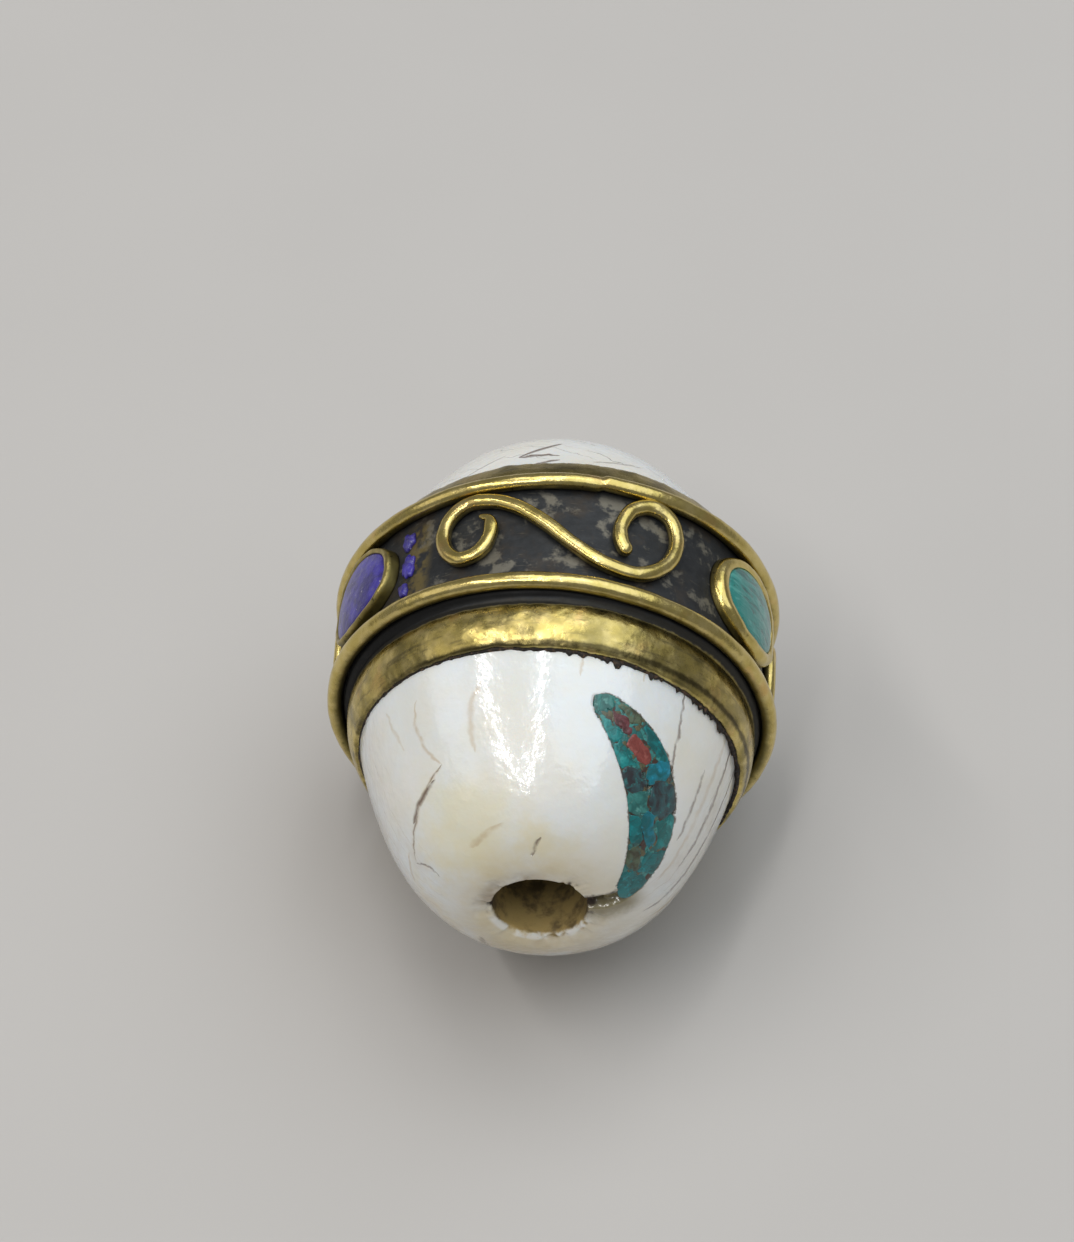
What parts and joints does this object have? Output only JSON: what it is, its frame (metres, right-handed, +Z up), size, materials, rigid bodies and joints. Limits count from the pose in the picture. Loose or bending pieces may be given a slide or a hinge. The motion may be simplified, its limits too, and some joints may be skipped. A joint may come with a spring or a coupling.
{
  "type": "bead",
  "caption": "Large stringing bead: drilled white shell barrel in an oxidised brass band with wire scrolls and oval inlaid stones, and a crescent of stone chips in one cap.",
  "frame": {"origin": "on the bore's axis, halfway along the bead, at the centre of its box", "axes": "+Y along the bore, away from the long cap that holds the crescent; +Z up, through the middle of the top scroll; +X toward the turquoise stone's side"},
  "size_m": [0.023, 0.0264, 0.023],
  "materials": {
    "shell": "polished white conch shell with cream clouds and fine brown hairline cracks",
    "brass": "hand-polished drawn wire, olive-brown in its hollows",
    "aged_brass": "oxidised nearly black between the border wires, rubbed bright on both rims",
    "pitch": "black-brown pitch, dull",
    "turquoise": "polished, with darker veins",
    "pale_turquoise": "polished, mottled",
    "blue_turquoise": "polished, mottled",
    "deep_teal": "polished, mottled",
    "slate": "polished, grey-brown matrix",
    "olive": "polished matrix stone",
    "coral": "polished red coral",
    "dark_red": "polished dark red coral",
    "lapis": "polished violet-blue lapis"
  },
  "bodies": {
    "root": {"shell_barrel": "shell", "crescent_chip_1": "pale_turquoise", "crescent_chip_2": "turquoise", "crescent_chip_3": "dark_red", "crescent_chip_4": "olive", "crescent_chip_5": "turquoise", "crescent_chip_6": "coral", "crescent_chip_7": "deep_teal", "crescent_chip_8": "slate", "crescent_chip_9": "blue_turquoise", "crescent_chip_10": "pale_turquoise", "crescent_chip_11": "slate", "crescent_chip_12": "deep_teal", "crescent_chip_13": "blue_turquoise", "crescent_chip_14": "turquoise", "crescent_chip_15": "olive", "crescent_chip_16": "deep_teal", "crescent_chip_17": "deep_teal", "crescent_binder": "pitch", "pitch_bed": "pitch", "band_sheet": "aged_brass", "near_border_wire": "brass", "far_border_wire": "brass", "top_scroll": "brass", "right_scroll": "brass", "left_scroll": "brass", "turquoise_bezel": "brass", "turquoise_bed": "pitch", "turquoise_stone": "turquoise", "lapis_bezel": "brass", "lapis_bed": "pitch", "lapis_stone": "lapis", "coral_bezel": "brass", "coral_bed": "pitch", "coral_stone": "coral", "lapis_crumb_1": "lapis", "lapis_crumb_2": "lapis", "lapis_crumb_3": "lapis"}
  },
  "joints": []
}
